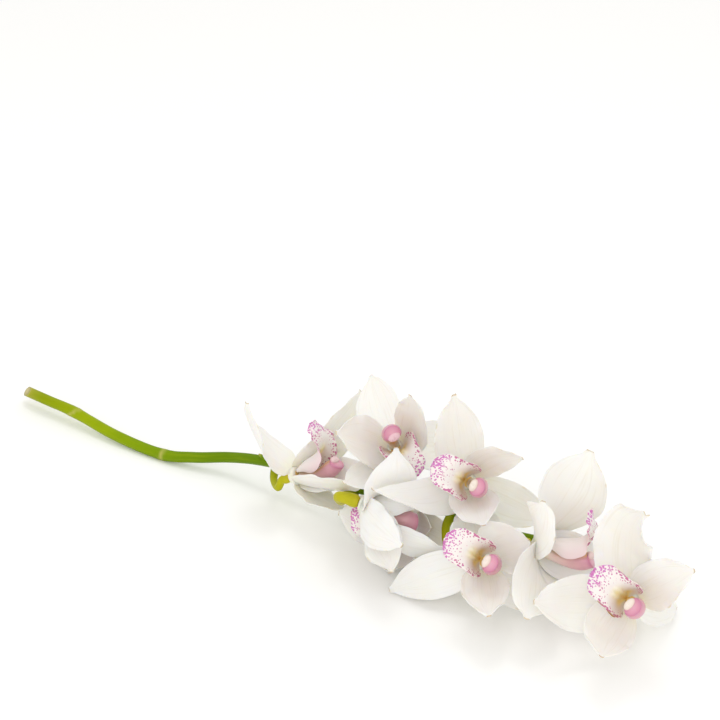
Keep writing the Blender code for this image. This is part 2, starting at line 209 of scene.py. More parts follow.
def shade(finish, colour, relief=None, strength=0.3, distance=0.0002):
    """Gives the shader its colour and, from a relief, its bump."""
    shader = finish.node_tree.nodes["Principled BSDF"]
    finish.node_tree.links.new(colour, shader.inputs["Base Color"])
    if relief is not None:
        inputs = {"Strength": strength, "Distance": distance, "Height": relief}
        bump = node(finish, "ShaderNodeBump", inputs)
        finish.node_tree.links.new(bump.outputs[0], shader.inputs["Normal"])
    return shader


# Green flesh: tone runs from the bleached cut end through fresh green to the olive of the stalks,
# grain carries fine streaks along the stem, and dry marks scars and withered tips.
GREEN_TONES = [
    (0.0, (0.40, 0.38, 0.040)), (0.06, (0.26, 0.32, 0.0)), (0.17, (0.31, 0.40, 0.0)),
    (0.26, (0.21, 0.32, 0.0)), (0.38, (0.135, 0.235, 0.0)), (0.58, (0.11, 0.20, 0.002)),
    (0.68, (0.24, 0.27, 0.002)), (0.82, (0.46, 0.45, 0.008)), (1.0, (0.55, 0.47, 0.030)),
]
STREAK_GREEN, MOTTLE_GREEN = (0.42, 0.48, 0.01, 1.0), (0.10, 0.19, 0.0, 1.0)
DRY_TAN = (0.54, 0.49, 0.13, 1.0)

green_flesh = new_finish("green_flesh", 0.45)
grain = speckle(green_flesh, field(green_flesh, "grain", "Vector"), 2.2, 4.0, 0.6)
mottle = speckle(green_flesh, place_on(green_flesh), 60.0, 3.0)
skin = colour_along(green_flesh, field(green_flesh, "tone"), GREEN_TONES)
streaked = times(green_flesh, between(green_flesh, grain, 0.45, 0.75), 0.20)
skin = tint(green_flesh, streaked, skin, STREAK_GREEN)
mottled = times(green_flesh, between(green_flesh, mottle, 0.5, 0.8), 0.22)
skin = tint(green_flesh, mottled, skin, MOTTLE_GREEN)
uneven = sums(green_flesh, "ADD", 0.45, times(green_flesh, grain, 0.9))
dry = sums(green_flesh, "MULTIPLY", field(green_flesh, "dry"), uneven, clamp=True)
skin = tint(green_flesh, dry, skin, DRY_TAN)
green_shader = shade(green_flesh, skin, grain, 0.25, 0.00025)
green_shader.inputs["Specular IOR Level"].default_value = 0.08
green_shader.inputs["Subsurface Weight"].default_value = 0.05
green_shader.inputs["Subsurface Radius"].default_value = (0.6, 1.0, 0.2)
green_shader.inputs["Subsurface Scale"].default_value = 0.0015

route = smooth_route(STEM_ROUTE, STEM_STEPS)
share = np.linspace(0, 1, len(route))[:, None]
radius = STEM_RADIUS * np.interp(share, *STEM_TAPER)
angle = np.linspace(0, 2 * np.pi, STEM_SIDES, endpoint=False)[None, :]
height = radius * np.sin(angle)  # of each point above the stem's own middle line
scar = sum(
    np.exp(-(((route[:, :1] - at - slant * height) / SCAR_WIDTH) ** 2))
    for at, slant in zip(SCAR_AT, SCAR_SLANT)
)
swell = sum(np.exp(-(((route[:, :1] - at) / JOINT_WIDTH) ** 2)) for at in SCAR_AT)
ribs = STEM_RIB * np.cos(STEM_RIBS * angle + 3 * share)
ribs = 1 + ribs + STEM_OVAL * np.cos(2 * angle + 9 * share)
radii = (radius + JOINT_HEIGHT * swell + SCAR_HEIGHT * scar) * ribs
rings, angle = carried_round(route, radii, STEM_SIDES, (0, 0, 1))
run = length_along(route)
slanted = (rings - route[:, None])[..., 1:] @ CUT_SLANT
rings[..., 0] += slanted * np.clip(1 - run / CUT_RUN, 0, 1)[:, None]
cut_rim = np.clip(1 - run / CUT_BROWNING, 0, 1)[:, None]
stem = grown_piece(
    "flower_stem", rings.reshape(-1, 3), tube_faces(*rings.shape[:2]), green_flesh,
    grain=grain_places(angle, run / STEM_GRAIN),
    tone=np.repeat(np.interp(run, *STEM_TONE), STEM_SIDES),
    dry=np.maximum(SCAR_DRYNESS * scar, cut_rim).ravel(),
)
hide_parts("stem")

# The cut face shows pale pith with darker dots of fibre, inside a thin green rind.
CUT_RINGS = 8
CUT_RISE = 0.0003  # how far the middle of the face stands out past its rim
PITH_TONES = [(0.0, (0.62, 0.56, 0.26)), (0.80, (0.50, 0.42, 0.17)), (1.0, (0.20, 0.26, 0.04))]
FIBRE_BROWN = (0.33, 0.24, 0.09, 1.0)

cut_pith = new_finish("cut_pith", 0.7)
fibre = node(cut_pith, "ShaderNodeTexVoronoi", {"Vector": place_on(cut_pith), "Scale": 1700.0})
fibre = fibre.outputs["Distance"]
pith = colour_along(cut_pith, field(cut_pith, "inward"), PITH_TONES)
pith = tint(cut_pith, between(cut_pith, fibre, 0.32, 0.1), pith, FIBRE_BROWN)
shade(cut_pith, pith, fibre, 0.5, 0.0002)

inward = np.linspace(1, 0.02, CUT_RINGS)[:, None, None]
outward = np.array([-1.0, *CUT_SLANT]) * CUT_RISE
disc = route[0] + inward * (rings[0] - route[0])[None] + outward * (1 - inward**2)
cut_faces = tube_faces(CUT_RINGS, STEM_SIDES)
del cut_faces[-2]  # the one over the outer ring, where the stem itself begins
cut = grown_piece("cut_face", disc.reshape(-1, 3), [face[::-1] for face in cut_faces], cut_pith,
                  inward=np.repeat(inward.ravel(), STEM_SIDES))

# The stalks. Each bloom stands on a fleshy stalk that grew out of the stem. It is olive and faintly
# grooved, and thickens into the ovary just behind the bloom.


def blade(turn, tilt, curl, long=1.0, wide=1.0, twist=0.0, sway=0.0, frill=0.0006):
    """A sepal or petal: its turn round the bloom, its tilt and curl forward, its length and width
    as shares of a full one, its twist, its sideways sway, and the height of its margin's waves."""
    return {"turn": turn, "tilt": tilt, "curl": curl, "long": long, "wide": wide, "twist": twist,
            "sway": sway, "frill": frill}


# A bloom looks along an azimuth, rises from level by the second angle and is turned by roll. The
# stalk's points run from the stem to the bloom. Its blades are a dorsal sepal, two petals and two
# side sepals.
BLOOMS = {
    "a": {
        "at": (-0.029, -0.027, 0.031), "face": (15, 29), "roll": 17,
        "stalk": [(-0.061, -0.010, 0.020), (-0.055, -0.0196, 0.016), (-0.0435, -0.029, 0.018)],
        "blades": [
            blade(4, 26, 40, 0.62, 0.76), blade(40, 68, 26, 0.83, 0.76),
            blade(-38, 64, 16, 0.97, 0.76),
            blade(124, 68, -62, 1.17, 0.79, twist=4, sway=0.003),
            blade(-164, -40, 68, 0.92, 1.18, twist=55, sway=-0.003),
        ],
    },
    "b": {
        "at": (0.028, 0.000, 0.058), "face": (-58, 45), "roll": 146,
        "stalk": [(-0.008, -0.011, 0.026), (-0.002, 0.002, 0.031), (0.012, 0.012, 0.040)],
        "blades": [
            blade(-3, -13, -16, 0.95, 0.88, twist=-8, sway=-0.008), blade(68, 55, 8, 0.93, 1.00),
            blade(-92, 58, 36, 0.97, 0.85, twist=36, sway=0.010),
            blade(138, 30, 43, 0.95, 0.97, twist=-24, sway=-0.020),
            blade(-108, -25, -25, 0.97, 1.00),
        ],
    },
    "c": {
        "at": (0.087, -0.005, 0.057), "face": (-45, 24), "roll": -8,
        "stalk": [(0.050, -0.009, 0.031), (0.056, -0.001, 0.036), (0.068, 0.006, 0.044)],
        "blades": [
            blade(-5, -12, -10, 0.98, 0.82, sway=0.008),
            blade(92, 48, 36, 0.93, 0.65, twist=-32, sway=-0.014),
            blade(-60, 68, 9, 0.90, 0.88, twist=18),
            blade(135, 17, 26, 1.00, 0.91, twist=-6, sway=-0.004),
            blade(-121, 24, 22, 1.00, 0.82, twist=28, sway=-0.032),
        ],
    },
    "d": {
        "at": (0.042, -0.047, 0.044), "face": (20, -12), "roll": 20, "stout": 1.4,
        "stalk": [
            (0.005, -0.013, 0.025), (0.005, -0.022, 0.0245), (0.012, -0.034, 0.031),
            (0.0225, -0.0495, 0.044),
        ],
        "blades": [
            blade(0, 23, 32, 1.02, 0.76, twist=-28, sway=-0.006),
            blade(17, 48, -16, 0.85, 0.82, twist=-88, sway=0.005), blade(-66, 72, 6, 0.53, 0.65),
            blade(52, 57, 51, 1.00, 0.82, twist=-42, sway=-0.012),
            blade(-72, 70, -106, 0.58, 1.03, twist=-100, sway=-0.021),
        ],
    },
    "e": {
        "at": (0.124, -0.040, 0.032), "face": (-49, 30), "roll": -8,
        "stalk": [
            (0.078, -0.0085, 0.0332), (0.0815, -0.020, 0.029), (0.093, -0.031, 0.0215),
            (0.109, -0.029, 0.020),
        ],
        "blades": [
            blade(2, -8, 2, 0.83, 1.00), blade(72, 41, 29, 0.63, 1.06, twist=-26, sway=-0.007),
            blade(-65, 55, 19, 0.97, 0.85, twist=14), blade(128, -23, -60, 0.73, 0.85),
            blade(-134, -17, -22, 1.00, 0.82, sway=0.002),
        ],
    },
    "f": {
        "at": (0.151, -0.023, 0.0445), "face": (20, -6), "roll": 92,
        "stalk": [(0.118, -0.010, 0.0355), (0.1275, -0.0215, 0.0428)],
        "blades": [
            blade(40, 36, 40, 0.87, 1.00), blade(64, 57, 9, 0.83, 0.88),
            blade(-60, 14, -8, 0.87, 1.18, twist=85),
            blade(166, 26, -16, 1.00, 1.53, twist=-88, sway=-0.002),
            blade(-124, 4, 4, 0.90, 0.88, twist=90, sway=-0.010),
        ],
    },
    "g": {
        "at": (0.217, -0.028, 0.035), "face": (-58, 27), "roll": -22,
        "stalk": [(0.184, 0.012, 0.018), (0.197, 0.008, 0.017), (0.206, -0.004, 0.021)],
        "blades": [
            blade(22, -60, -8, 0.98, 0.68, twist=-26),
            blade(80, 50, 2, 0.93, 0.85, twist=-38, sway=-0.005),
            blade(-94, 38, 46, 0.93, 0.91, twist=24, sway=0.006),
            blade(141, 2, 89, 1.23, 1.09, twist=-79, sway=-0.016, frill=0.0016),
            blade(-135, 2, 56, 1.00, 1.00, sway=-0.006),
        ],
    },
    "h": {
        "at": (0.042, -0.014, 0.0145), "face": (-60, 20), "roll": -10,
        "stalk": [
            (0.060, -0.009, 0.032), (0.059, 0.001, 0.026), (0.050, 0.008, 0.016),
            (0.038, 0.005, 0.0085),
        ],
        "blades": [
            blade(6, 32, 26, 0.77, 0.88, twist=-10, sway=0.004),
            blade(30, 46, 18, 0.52, 0.65, twist=-20),
            blade(-69, 50, 30, 0.72, 0.88, twist=8), blade(150, -38, 10, 0.63, 0.71),
            blade(-165, -3, 2, 0.58, 0.97),
        ],
    },
}


def bloom_axes(azimuth, rise, roll):
    """Columns right, dorsal and facing. The dorsal leans to the stem's tip, turned by roll."""
    a, e = np.radians([azimuth, rise])
    facing = np.array([np.cos(a) * np.cos(e), np.sin(a) * np.cos(e), np.sin(e)])
    start = np.array([1.0, 0.0, 0.0]) - facing * facing[0]
    start /= np.linalg.norm(start)
    dorsal = start * np.cos(np.radians(roll)) + np.cross(facing, start) * np.sin(np.radians(roll))
    return np.stack([np.cross(dorsal, facing), dorsal, facing], axis=1)


for bloom in BLOOMS.values():
    bloom["axes"] = bloom_axes(*bloom["face"], bloom["roll"])
    bloom["at"] = np.array(bloom["at"])

STALK_RADIUS = 0.0024
STALK_STEPS, STALK_SIDES = 12, 30
STALK_SWELL = (  # shares of the way along, and shares of the radius there
    [0, 0.2, 0.5, 0.8, 0.93, 1], [1.3, 1.0, 1.0, 1.25, 1.2, 0.9],
)
STALK_GROOVES, GROOVE_DEPTH = 6, 0.05
STALK_GRAIN = 0.03  # the length of stalk that one streak of colour spans
STALK_TONE = {
    "a": 0.82, "b": 0.80, "c": 0.78, "d": 0.90, "e": 0.84, "f": 0.90, "g": 0.84, "h": 0.78,
}
OVARY_BEHIND = [0.0125, 0.0090, 0.0053]  # points of the ovary, behind the bloom's own one

for letter, bloom in BLOOMS.items():
    ovary = bloom["at"] - np.outer(OVARY_BEHIND, bloom["axes"][:, 2])
    route = smooth_route(np.concatenate([bloom["stalk"], ovary]), STALK_STEPS)
    share = np.linspace(0, 1, len(route))
    radius = np.interp(share, *STALK_SWELL) * STALK_RADIUS * bloom.get("stout", 1.0)
    angle = np.linspace(0, 2 * np.pi, STALK_SIDES, endpoint=False)[None, :]
    deep = GROOVE_DEPTH * np.clip(share * 1.6 - 0.3, 0, 1)[:, None]
    radii = radius[:, None] * (1 - deep * np.cos(STALK_GROOVES * angle) ** 8)
    rings, angle = carried_round(route, radii, STALK_SIDES, (0.1, 0.3, 1))
    olive = STALK_TONE[letter]
    tone = np.interp(share, [0, 0.25, 0.6, 1], [0.62, olive - 0.04, olive, 0.95])
    stalk = grown_piece(
        f"stalk_{letter}", rings.reshape(-1, 3), tube_faces(*rings.shape[:2]), green_flesh,
        grain=grain_places(angle, length_along(route) / STALK_GRAIN),
        tone=np.repeat(tone, STALK_SIDES), dry=np.zeros(len(route) * STALK_SIDES),
    )

# The bracts. A small pointed leaf, which sheltered the bud, grows at the foot of some of the
# stalks. It is green flesh with three faint ridges and a dry tip.

BRACTS = [  # the foot and the tip of each
    ((-0.068, -0.010, 0.0205), (-0.074, -0.012, 0.0245)),
    ((0.004, -0.013, 0.027), (-0.006, -0.019, 0.029)),
    ((0.124, -0.014, 0.0385), (0.130, -0.022, 0.0345)),
]
BRACT_RADII = [(0, 2.2), (0.33, 2.0), (0.67, 1.4), (1, 0.4)]  # share along, mm
BRACT_RINGS, BRACT_SIDES = 24, 20
BRACT_RIDGE = 0.10  # height of its three ridges, as a share of the radius
BRACT_TONE = 0.46


def size_along(share, marks, per_span=8):
    """The size at a share of the length, on the smooth curve through marks of share and size."""
    curve = smooth_route(marks, per_span)
    return np.interp(share, curve[:, 0], curve[:, 1])


for number, (foot, tip) in enumerate(BRACTS):
    share = np.linspace(0, 1, BRACT_RINGS)
    path = np.array(foot) + share[:, None] * (np.array(tip) - np.array(foot))
    radius = size_along(share, BRACT_RADII)[:, None] / 1000
    angle = np.linspace(0, 2 * np.pi, BRACT_SIDES, endpoint=False)[None, :]
    radii = radius * (1 + BRACT_RIDGE * np.cos(3 * angle))
    rings, angle = carried_round(path, radii, BRACT_SIDES, (0.3, 1, 0.2))
    bract = grown_piece(
        f"bract_{number}", rings.reshape(-1, 3), tube_faces(*rings.shape[:2]), green_flesh,
        grain=grain_places(angle, share), tone=np.full(BRACT_RINGS * BRACT_SIDES, BRACT_TONE),
        dry=np.repeat(np.clip(share * 2.2 - 1.4, 0, 0.9), BRACT_SIDES),
    )

# The sepals and petals. Five waxy white blades grow round a small receptacle. Each is cupped, has a
# groove down its middle and fine veins, thins to its margin and ends in a tip that is a little dry.

TEPAL_LENGTH, TEPAL_WIDTH = 0.060, 0.034
TEPAL_START = 0.0044  # how far from the bloom's middle a blade begins
TEPAL_CUP = 20.0  # the angle of its arc on each side of the midrib
TEPAL_LEVELS = (-0.0026, -0.0010, -0.0010, -0.0026, -0.0026)  # petals stand in front of sepals
TEPAL_THICK, TEPAL_THINNING = 0.00095, 0.00055  # at its middle, and how much of it the margin loses
MIDRIB_DEPTH, MIDRIB_WIDTH = 0.0006, 0.10  # its width is half, as a share of the blade's
BLADE_ROWS, BLADE_COLUMNS = 56, 32
PATH_STEPS = 200  # steps that a midrib is summed up in


def tepal_outline(u, width):
    """Half width along the midrib: (u/m)^a ((1-u)/(1-m))^b, widest at m, on a broad foot, and
    joined by a fourth-power mean to a short blunt tip that goes on a little further."""
    a, b = 0.55, 0.75
    widest = a / (a + b)
    body = np.clip(u / 0.96, 0, 1)
    oval = (body / widest) ** a * ((1 - body) / (1 - widest)) ** b + 0.2 * (1 - u) ** 6
    tip = 0.30 * (1 - u) ** 0.25
    return width / 2 * (oval**4 + tip**4) ** 0.25


def running(values, step):
    """Running sum of values a step apart: each step adds the mean of its two ends."""
    return np.concatenate([[0], np.cumsum((values[1:] + values[:-1]) / 2 * step)])


def across_blade(columns):
    """Columns from -1 to 1, closest at the margins."""
    return np.sin(np.linspace(-np.pi / 2, np.pi / 2, columns))[None, :]


def tepal_surface(turn, tilt, curl, long, wide, twist, sway, frill, level, phase):
    """Middle surface of a blade in its bloom's axes, by u along it and v across. The midrib's slope
    grows evenly from tilt to tilt + curl and is summed up into a path; across it the blade is an
    arc. Sin waves times v to the fourth raise the margin, and a bell curve lowers the midrib.
    Twist turns the arc by u, and sway shifts it by u squared."""
    u = np.linspace(0, 1, BLADE_ROWS)[:, None] ** 0.92
    u = u / u[-1]
    v = across_blade(BLADE_COLUMNS)
    fine = np.linspace(0, 1, PATH_STEPS + 1)
    slope = np.radians(tilt + curl * fine)
    step = long * TEPAL_LENGTH / PATH_STEPS
    radius = np.interp(u, fine, TEPAL_START + running(np.cos(slope), step))
    height = np.interp(u, fine, level + running(np.sin(slope), step))
    slope = np.interp(u, fine, slope)
    half = tepal_outline(u * 0.996, wide * TEPAL_WIDTH)
    half = half * (1 + 0.03 * np.sin(9 * u + phase + np.sign(v)) * u)
    cup = np.radians(TEPAL_CUP)
    side = half * np.sin(cup * v) / cup
    up = half * (1 - np.cos(cup * v)) / cup
    wave = np.sin(15 * u + phase + 2.1 * np.sign(v)) + 0.6 * np.sin(27 * u + 2 * phase)
    up = up + frill * wave * v**4 * np.clip(u * 3, 0, 1)
    up = up - MIDRIB_DEPTH * np.exp(-((v / MIDRIB_WIDTH) ** 2)) * (1 - u) * np.clip(u * 8, 0, 1)
    wring = np.radians(twist) * u
    side, up = side * np.cos(wring) - up * np.sin(wring), side * np.sin(wring) + up * np.cos(wring)
    side = side + sway * u**2
    out = radius - np.sin(slope) * up
    forward = height + np.cos(slope) * up
    sine, cosine = np.sin(np.radians(turn)), np.cos(np.radians(turn))
    surface = np.stack([-sine * out - cosine * side, cosine * out - sine * side, forward], axis=-1)
    return surface, np.broadcast_to(u, side.shape), np.broadcast_to(v, side.shape)


def leaf_of(surface, thick):
    """A closed blade: the surface moved half the thickness each way along its normals, with a rim.
    The points of one side come first, and then those of the other."""
    rows, columns = surface.shape[:2]
    normal = np.cross(np.gradient(surface, axis=0), np.gradient(surface, axis=1))
    normal /= np.maximum(np.linalg.norm(normal, axis=-1, keepdims=True), 1e-12)
    shift = normal * (thick / 2)[..., None]
    points = np.concatenate([(surface + shift).reshape(-1, 3), (surface - shift).reshape(-1, 3)])
    i = np.arange(rows * columns).reshape(rows, columns)
    front = np.stack([i[:-1, :-1], i[1:, :-1], i[1:, 1:], i[:-1, 1:]], -1).reshape(-1, 4)
    rim = np.concatenate([i[:-1, 0], i[-1, :-1], i[:0:-1, -1], i[0, :0:-1]])
    on = np.roll(rim, -1)
    edge = np.stack([rim, rim + rows * columns, on + rows * columns, on], -1)
    return points, np.concatenate([front, front[:, ::-1] + rows * columns, edge])


# Waxy petal flesh: warm white, thin enough to glow, with veins that run from claw to tip, a faint
# green-yellow claw, and a few tan marks at the tip and margin.
PETAL_WHITE, PETAL_PALE = (0.862, 0.836, 0.790, 1.0), (0.880, 0.858, 0.820, 1.0)
VEIN_BEIGE, CLAW_YELLOW = (0.74, 0.68, 0.58, 1.0), (0.80, 0.76, 0.50, 1.0)
THROAT_GOLD = (0.84, 0.56, 0.16, 1.0)
TIP_BROWN, MARGIN_TAN = (0.42, 0.26, 0.10, 1.0), (0.66, 0.52, 0.28, 1.0)

petal_flesh = new_finish("petal_flesh", 0.46)
blade_place = field(petal_flesh, "blade", "Vector")
across, along, seed = node(petal_flesh, "ShaderNodeSeparateXYZ", {"Vector": blade_place}).outputs
vein_place = node(petal_flesh, "ShaderNodeCombineXYZ", {
    "X": times(petal_flesh, across, 9.0), "Y": times(petal_flesh, along, 1.2), "Z": seed,
}).outputs[0]
veins = speckle(petal_flesh, vein_place, 1.6, 3.0)
petal_place = place_on(petal_flesh)
cloud = speckle(petal_flesh, petal_place, 45.0, 3.0)
cells = speckle(petal_flesh, petal_place, 1500.0)
bruise = speckle(petal_flesh, petal_place, 130.0)
petal = tint(petal_flesh, between(petal_flesh, cloud, 0.35, 0.7), PETAL_WHITE, PETAL_PALE)
veined = times(petal_flesh, between(petal_flesh, veins, 0.52, 0.72), 0.30)
petal = tint(petal_flesh, veined, petal, VEIN_BEIGE)
claw = times(petal_flesh, between(petal_flesh, along, 0.22, 0.0), 0.35)
petal = tint(petal_flesh, claw, petal, CLAW_YELLOW)
petal = tint(petal_flesh, between(petal_flesh, along, -0.1, -0.9), petal, THROAT_GOLD)
ragged = sums(petal_flesh, "ADD", along, times(petal_flesh, cloud, 0.03))
tip = times(petal_flesh, between(petal_flesh, ragged, 0.995, 1.02), 0.75)
petal = tint(petal_flesh, tip, petal, TIP_BROWN)
rim = between(petal_flesh, sums(petal_flesh, "ABSOLUTE", across), 0.90, 1.0)
marred = times(petal_flesh, rim, between(petal_flesh, bruise, 0.58, 0.70))
petal = tint(petal_flesh, times(petal_flesh, marred, 0.55), petal, MARGIN_TAN)
relief = sums(petal_flesh, "ADD", veins, times(petal_flesh, cells, 0.12))
petal_shader = shade(petal_flesh, petal, relief, 0.30, 0.0004)
petal_shader.inputs["Subsurface Weight"].default_value = 0.45
petal_shader.inputs["Subsurface Radius"].default_value = (1.0, 0.72, 0.42)
petal_shader.inputs["Subsurface Scale"].default_value = 0.0030
petal_shader.inputs["Sheen Weight"].default_value = 0.08

# The receptacle is a small knob turned from a profile: how far forward, and its radius there.
RECEPTACLE = [
    (-0.0050, 0.0022), (-0.0042, 0.0044), (-0.0015, 0.0060), (0.0004, 0.0052), (0.0009, 0.0030),
]
RECEPTACLE_STEPS, RECEPTACLE_SIDES = 5, 32

for number, (letter, bloom) in enumerate(BLOOMS.items()):
    points, faces, marks, count = [], [], [], 0
    for order, (bend, level) in enumerate(zip(bloom["blades"], TEPAL_LEVELS)):
        surface, u, v = tepal_surface(level=level, phase=1.7 * number + 2.3 * order, **bend)
        to_margin = np.clip(np.maximum(np.abs(v), 1.4 * u - 0.4), 0, 1)
        blade_points, blade_faces = leaf_of(surface, TEPAL_THICK - TEPAL_THINNING * to_margin**3)
        points.append(blade_points)
        faces += (blade_faces + count).tolist()
        mark = np.stack([v, u, np.full(u.shape, 3.0 * number + 7.0 * order)], -1).reshape(-1, 3)
        marks += [mark, mark]
        count += len(blade_points)
    profile = smooth_route(RECEPTACLE, RECEPTACLE_STEPS)
    spine = np.outer(profile[:, 0], [0, 0, 1.0])
    rings, angle = carried_round(spine, profile[:, 1:], RECEPTACLE_SIDES, (0, 1, 0))
    points.append(rings.reshape(-1, 3))
    faces += [[corner + count for corner in face] for face in tube_faces(*rings.shape[:2])]
    golden = np.interp(profile[:, :1], [0.0008, 0.0009], [0.02, -1.0])  # below 0 on its front face
    marks.append(np.stack(np.broadcast_arrays(np.cos(angle)[None], golden, 1.0), -1).reshape(-1, 3))
    points = np.concatenate(points) @ bloom["axes"].T + bloom["at"]
    marks = np.concatenate(marks)
    petals = grown_piece(f"petals_{letter}", points, faces, petal_flesh, blade=marks)
    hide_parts(f"bloom_{letter}_tepals")

# The lip. A fleshy white trough that grows under the column, with side lobes that stand up beside
# it and a front lobe that turns down with a crimped margin. It is dotted magenta, closest at the
# margin, and two yellow keels run down its middle from a golden throat.

LIP_LENGTH = 0.043
LIP_START = (-0.0034, 0.0016)  # how far under and in front of the bloom's own point it begins
LIP_ROWS, LIP_COLUMNS = 84, 60
LIP_THICK, LIP_THINNING = 0.0010, 0.0005
LIP_HALF_WIDTHS = [  # share along, mm
    (0, 3), (0.12, 7), (0.3, 13), (0.5, 15), (0.62, 11.5), (0.74, 10.5), (0.86, 10), (0.94, 7.5),
    (1, 2.5),
]
LIP_CUPS = [  # share along, degrees
    (0, 70), (0.25, 95), (0.5, 75), (0.68, 22), (0.85, -22), (1, -30),
]
LIP_SLOPES = (30, -18, 100)  # at its base, what the trough loses, what the front lobe gains
LIP_WAVE, LIP_CRIMP, LIP_TIP_WAVE = 0.0016, 0.0007, 0.0006
KEEL_HEIGHT, KEEL_APART, KEEL_WIDTH = 0.0011, 0.0017, 0.0008  # apart and width are half
YELLOW_WIDTH = 0.0038  # half of the yellow band that the keels stand in
LIP_SIDES = np.array([1.0, 0.0])  # the blade's first side is its inner face, the second its outer
WITHERED_LIP = "g"


def lip_surface(phase):
    """Middle surface of the lip, by u along it and v across. Its slope falls, then grows round the
    front lobe, and is summed up into a path; across it the lip is an arc whose angle goes from a
    deep trough to slightly backward. Sin waves crimp the margin, and two bell curves are keels."""
    u = np.linspace(0, 1, LIP_ROWS)[:, None]
    v = across_blade(LIP_COLUMNS)
    fine = np.linspace(0, 1, 2 * PATH_STEPS + 1)
    base, trough, turned_down = LIP_SLOPES
    slope = base + trough * np.clip(fine / 0.3, 0, 1)
    slope = np.radians(slope + turned_down * np.clip((fine - 0.38) / 0.5, 0, 1) ** 1.2)
    step = LIP_LENGTH / (2 * PATH_STEPS)
    under = np.interp(u, fine, LIP_START[0] - running(np.sin(slope), step))
    front = np.interp(u, fine, LIP_START[1] + running(np.cos(slope), step))
    slope = np.interp(u, fine, slope)
    half = size_along(u, LIP_HALF_WIDTHS) / 1000
    cup = np.radians(size_along(u, LIP_CUPS))
    cup = np.where(np.abs(cup) < 0.02, 0.02, cup)
    side = half * np.sin(cup * v) / cup
    up = half * (1 - np.cos(cup * v)) / cup
    lobe = np.clip((u - 0.42) / 0.2, 0, 1)
    up = up + LIP_WAVE * np.clip(u - 0.3, 0, 1) * v**2 * np.sin(22 * u + 1.5 * np.sign(v))
    up = up + LIP_CRIMP * lobe * v**6 * np.sin(46 * u + phase + np.sign(v))
    up = up + LIP_TIP_WAVE * np.clip((u - 0.86) / 0.14, 0, 1) ** 2 * np.sin(9 * v + phase)
    keel = np.clip((u - 0.10) / 0.12, 0, 1) * np.clip((0.66 - u) / 0.08, 0, 1)
    up = up + KEEL_HEIGHT * keel * np.exp(-(((np.abs(v) * half - KEEL_APART) / KEEL_WIDTH) ** 2))
    surface = np.stack([side, under + np.cos(slope) * up, front + np.sin(slope) * up], axis=-1)
    return surface, u, v, half


# Lip flesh: magenta dots that grow and join towards the margin, streaks that fan out to the tip, a
# golden throat and yellow keels. The outer face has no marks and blushes at its edge.
LIP_WHITE, LIP_BLUSH = (0.84, 0.79, 0.76, 1.0), (0.84, 0.66, 0.68, 1.0)
THROAT_YELLOW, THROAT_DEEP = (0.92, 0.72, 0.24, 1.0), (0.74, 0.36, 0.04, 1.0)
KEEL_YELLOW, WITHERED_BROWN = (0.93, 0.83, 0.40, 1.0), (0.36, 0.17, 0.04, 1.0)
DOTS_AT_TIP, DOTS_AT_SIDE = (0.58, 0.09, 0.44, 1.0), (0.50, 0.05, 0.24, 1.0)

lip_flesh = new_finish("lip_flesh", 0.42)
lip_place = field(lip_flesh, "lip", "Vector")
seed = node(lip_flesh, "ShaderNodeSeparateXYZ", {"Vector": lip_place}).outputs[2]
fan = node(lip_flesh, "ShaderNodeSeparateXYZ", {"Vector": field(lip_flesh, "fan", "Vector")})
fan_angle, fan_distance, to_tip = fan.outputs
edge, throat, keels, inner, withered = (
    field(lip_flesh, name) for name in ("edge", "throat", "keel", "inner", "withered")
)
wander = speckle(lip_flesh, lip_place, 0.35)
dots = node(lip_flesh, "ShaderNodeTexVoronoi", {
    "Vector": lip_place, "Scale": 0.80, "Randomness": 0.95,
}).outputs["Distance"]
streak_place = node(lip_flesh, "ShaderNodeCombineXYZ", {
    "X": times(lip_flesh, fan_angle, 9.0), "Y": times(lip_flesh, fan_distance, 0.10), "Z": seed,
}).outputs[0]
streaks = speckle(lip_flesh, streak_place, 1.0)
swing = times(lip_flesh, sums(lip_flesh, "SUBTRACT", wander, 0.5), 0.6)
size = node(lip_flesh, "ShaderNodeMapRange", {
    "Value": sums(lip_flesh, "ADD", edge, swing), "From Min": 0.25, "From Max": 1.0,
    "To Min": 0.02, "To Max": 0.62,
}).outputs[0]
dotted = between(lip_flesh, sums(lip_flesh, "SUBTRACT", size, dots), -0.03, 0.05)
lined = between(lip_flesh, streaks, 0.57, 0.61)
lined = times(lip_flesh, lined, between(lip_flesh, to_tip, 0.35, 0.6))
marked = sums(lip_flesh, "MAXIMUM", dotted, lined)
marked = times(lip_flesh, times(lip_flesh, marked, between(lip_flesh, keels, 0.7, 0.2)), inner)
gold = times(lip_flesh, throat, inner)
outer_edge = times(lip_flesh, edge, sums(lip_flesh, "SUBTRACT", 1.0, inner))
paint = tint(lip_flesh, outer_edge, LIP_WHITE, LIP_BLUSH)
paint = tint(lip_flesh, between(lip_flesh, gold, 0.0, 0.5), paint, THROAT_YELLOW)
paint = tint(lip_flesh, between(lip_flesh, gold, 0.5, 1.0), paint, THROAT_DEEP)
paint = tint(lip_flesh, times(lip_flesh, times(lip_flesh, keels, inner), 0.85), paint, KEEL_YELLOW)
magenta = tint(lip_flesh, between(lip_flesh, to_tip, 0.75, 0.25), DOTS_AT_TIP, DOTS_AT_SIDE)
paint = tint(lip_flesh, times(lip_flesh, marked, 0.86), paint, magenta)
brown = times(lip_flesh, withered, between(lip_flesh, wander, 0.40, 0.55))
paint = tint(lip_flesh, brown, paint, WITHERED_BROWN)
lip_shader = shade(lip_flesh, paint, wander, 0.25, 0.0004)
lip_shader.inputs["Subsurface Weight"].default_value = 0.20
lip_shader.inputs["Subsurface Radius"].default_value = (1.0, 0.7, 0.6)
lip_shader.inputs["Subsurface Scale"].default_value = 0.001

